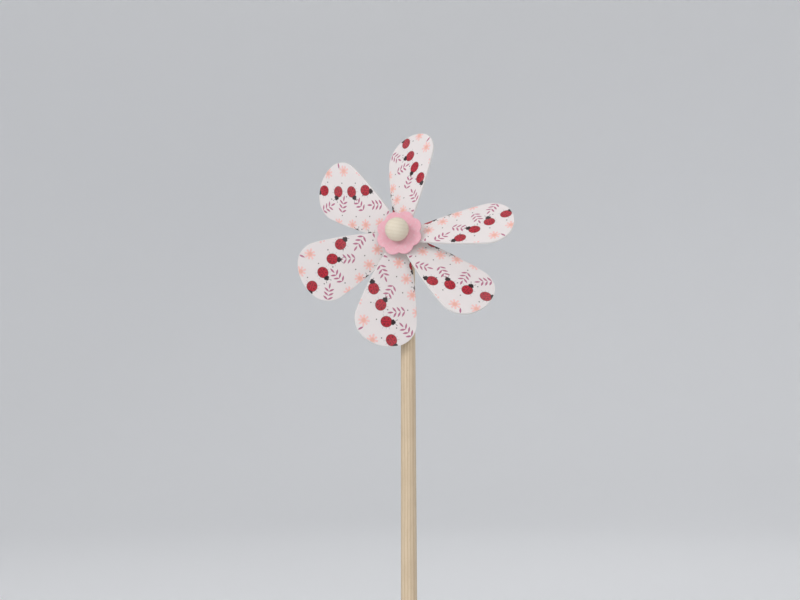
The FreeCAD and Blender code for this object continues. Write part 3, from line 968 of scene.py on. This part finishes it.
class WHIRLIGIG_OT_stage(bpy.types.Operator):
    """Set up the pale floor and backdrop, the soft lights and the camera"""

    bl_idname = "whirligig.stage"
    bl_label = "Stage"

    def execute(self, context):
        look = context.scene.whirligig_stage
        self.sweep(look)
        for name, spot, size, power in LAMPS:
            self.light(name, spot, size, getattr(look, power))
        self.air(context.scene, look)
        self.camera(context.scene, look)
        return {"FINISHED"}

    def sweep(self, look):
        """A round floor whose rim sweeps up into a backdrop on all sides."""
        bm = bmesh.new()
        profile = ((0, 0, 0), (SWEEP_RADIUS, 0, 0), (SWEEP_RADIUS, 0, SWEEP_HEIGHT))
        corners = [bm.verts.new(spot) for spot in profile]
        for start, end in zip(corners, corners[1:]):
            bm.edges.new((start, end))
        bmesh.ops.bevel(
            bm, geom=[corners[1]], offset=SWEEP_BEND, offset_type="OFFSET", affect="VERTICES",
            segments=16, profile=0.5, material=-1,
        )
        bmesh.ops.spin(
            bm, geom=bm.verts[:] + bm.edges[:], cent=(0, 0, 0), axis=(0, 0, 1), angle=2 * pi,
            steps=96, use_merge=True,
        )
        bmesh.ops.remove_doubles(bm, verts=bm.verts, dist=1e-5)
        bmesh.ops.recalc_face_normals(bm, faces=bm.faces)
        bm.normal_update()
        if min(bm.faces, key=lambda face: face.calc_center_median().z).normal.z < 0:
            bmesh.ops.reverse_faces(bm, faces=bm.faces)
        for face in bm.faces:
            face.smooth = True
        mesh = bpy.data.meshes.new("Sweep")
        bm.to_mesh(mesh)
        bm.free()
        mesh.materials.append(backdrop(look))
        floor = bpy.data.objects.new("Sweep", mesh)
        bpy.context.scene.collection.objects.link(floor)

    def light(self, name, spot, size, power):
        """A large square light that faces the wheel."""
        lamp = bpy.data.lights.new(name, "AREA")
        lamp.energy = power
        lamp.size = size
        lamp.spread = LAMP_SPREAD
        holder = bpy.data.objects.new(name, lamp)
        aim = (Vector(spot) - HUB_POINT).to_track_quat("Z", "Y")
        holder.matrix_world = Matrix.Translation(spot) @ aim.to_matrix().to_4x4()
        bpy.context.scene.collection.objects.link(holder)

    def air(self, scene, look):
        """Even light from all round."""
        world = bpy.data.worlds.new("Air")
        world.use_nodes = True
        scene.world = world
        shader = world.node_tree.nodes["Background"]
        shader.inputs["Color"].default_value = (*look.air, 1)
        shader.inputs["Strength"].default_value = look.air_strength
        scene.view_settings.view_transform = "Standard"

    def camera(self, scene, look):
        """The camera, looking up a little at the wheel from its right."""
        right = Vector((cos(look.turn), sin(look.turn), 0))
        level = Vector((sin(look.turn), -cos(look.turn), 0)) * cos(look.rise)
        back = level + Vector((0, 0, sin(look.rise)))
        up = back.cross(right)
        lens = bpy.data.cameras.new("Camera")
        lens.lens = look.lens
        holder = bpy.data.objects.new("Camera", lens)
        spot = HUB_POINT + back * look.distance - up * look.drop - right * look.shift_left
        turned = Matrix((right, up, back)).transposed().to_4x4()
        holder.matrix_world = Matrix.Translation(spot) @ turned
        scene.collection.objects.link(holder)
        scene.camera = holder


class WHIRLIGIG_PT_panel(bpy.types.Panel):
    """The whirligig's settings and pieces"""

    bl_label = "Whirligig"
    bl_idname = "WHIRLIGIG_PT_panel"
    bl_space_type = "VIEW_3D"
    bl_region_type = "UI"
    bl_category = "Whirligig"

    def draw(self, context):
        for settings, heading in SETTINGS:
            box = self.layout.box()
            box.label(text=heading)
            group = getattr(context.scene, settings)
            for name in group.bl_rna.properties.keys():
                if name not in ("rna_type", "name"):
                    box.prop(group, name)
        for operator in OPERATORS:
            self.layout.operator(operator.bl_idname)


SETTINGS = [
    ("whirligig_print", "Print"),
    ("whirligig_wood", "Wood"),
    ("whirligig_trim", "Felt and metal"),
    ("whirligig_stage", "Stage"),
]
GROUPS = [WhirligigPrint, WhirligigWood, WhirligigTrim, WhirligigStage]
OPERATORS = [
    WHIRLIGIG_OT_stick,
    WHIRLIGIG_OT_turned_wood,
    WHIRLIGIG_OT_metal,
    WHIRLIGIG_OT_blades,
    WHIRLIGIG_OT_flower,
    WHIRLIGIG_OT_stage,
]
CLASSES = [*GROUPS, *OPERATORS, WHIRLIGIG_PT_panel]


def register():
    for cls in CLASSES:
        bpy.utils.register_class(cls)
    for (settings, _), group in zip(SETTINGS, GROUPS):
        setattr(bpy.types.Scene, settings, bpy.props.PointerProperty(type=group))


def unregister():
    for settings, _ in SETTINGS:
        delattr(bpy.types.Scene, settings)
    for cls in reversed(CLASSES):
        bpy.utils.unregister_class(cls)


def main():
    """Make every piece and the stage."""
    register()
    bpy.ops.whirligig.stick()
    bpy.ops.whirligig.turned_wood()
    bpy.ops.whirligig.metal()
    bpy.ops.whirligig.blades()
    bpy.ops.whirligig.flower()
    bpy.ops.whirligig.stage()


if __name__ == "__main__":
    main()
